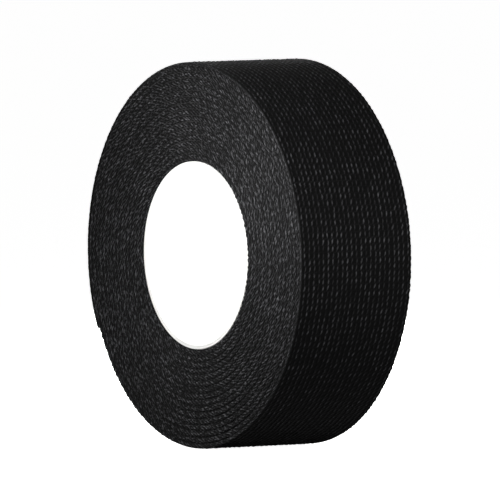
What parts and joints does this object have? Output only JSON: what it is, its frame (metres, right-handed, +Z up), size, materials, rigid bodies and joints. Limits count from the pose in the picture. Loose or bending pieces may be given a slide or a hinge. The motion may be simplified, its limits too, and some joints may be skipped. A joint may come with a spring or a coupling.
{
  "type": "grip tape roll",
  "caption": "Roll of black knitted elastic grip tape wound on a white paper core, with a free end that peels back from the rim.",
  "frame": {"origin": "centre of the core's bore, halfway along the core, with the roll standing on its rim", "axes": "+Y along the roll's axis, away from the shown side face; +Z up; +X towards the right of the shown side face. Seen from -Y the tape winds outwards counterclockwise, and the free end lies at -X"},
  "size_m": [0.0733, 0.025, 0.073],
  "materials": {
    "tape": "knitted, matt, with a slight yarn sheen",
    "core_paper": "smooth white paperboard, matt",
    "adhesive": "dried adhesive film"
  },
  "bodies": {
    "roll": {"core_inner_ply": "core_paper", "core_outer_ply": "core_paper", "start_adhesive": "adhesive", "lap_start": "tape", "lap_01": "tape", "lap_02": "tape", "lap_03": "tape", "lap_04": "tape", "lap_05": "tape", "lap_06": "tape", "lap_07": "tape", "lap_08": "tape", "lap_09": "tape", "lap_10": "tape", "lap_11": "tape", "lap_12": "tape", "lap_13": "tape", "lap_14": "tape", "lap_15": "tape", "outer_lap": "tape"},
    "tail_root": {"tail_root": "tape"},
    "tail_middle": {"tail_middle": "tape"},
    "tail_tip": {"tail_tip": "tape"}
  },
  "joints": [
    {"name": "tail_peel", "type": "hinge", "parent": "roll", "child": "tail_root", "pos_m": [-0.03472, 0, 0.0126], "axis": [0, 1, 0], "range_deg": [0, 60]},
    {"name": "tail_bend_middle", "type": "hinge", "parent": "tail_root", "child": "tail_middle", "pos_m": [-0.03686, 0, 0.00319], "axis": [0, 1, 0], "range_deg": [0, 36]},
    {"name": "tail_bend_tip", "type": "hinge", "parent": "tail_middle", "child": "tail_tip", "pos_m": [-0.03647, 0, -0.00646], "axis": [0, 1, 0], "range_deg": [0, 24]}
  ],
  "couplings": [
    {"joint": "tail_bend_middle", "follows": "tail_peel", "ratio": 0.6},
    {"joint": "tail_bend_tip", "follows": "tail_peel", "ratio": 0.4}
  ]
}
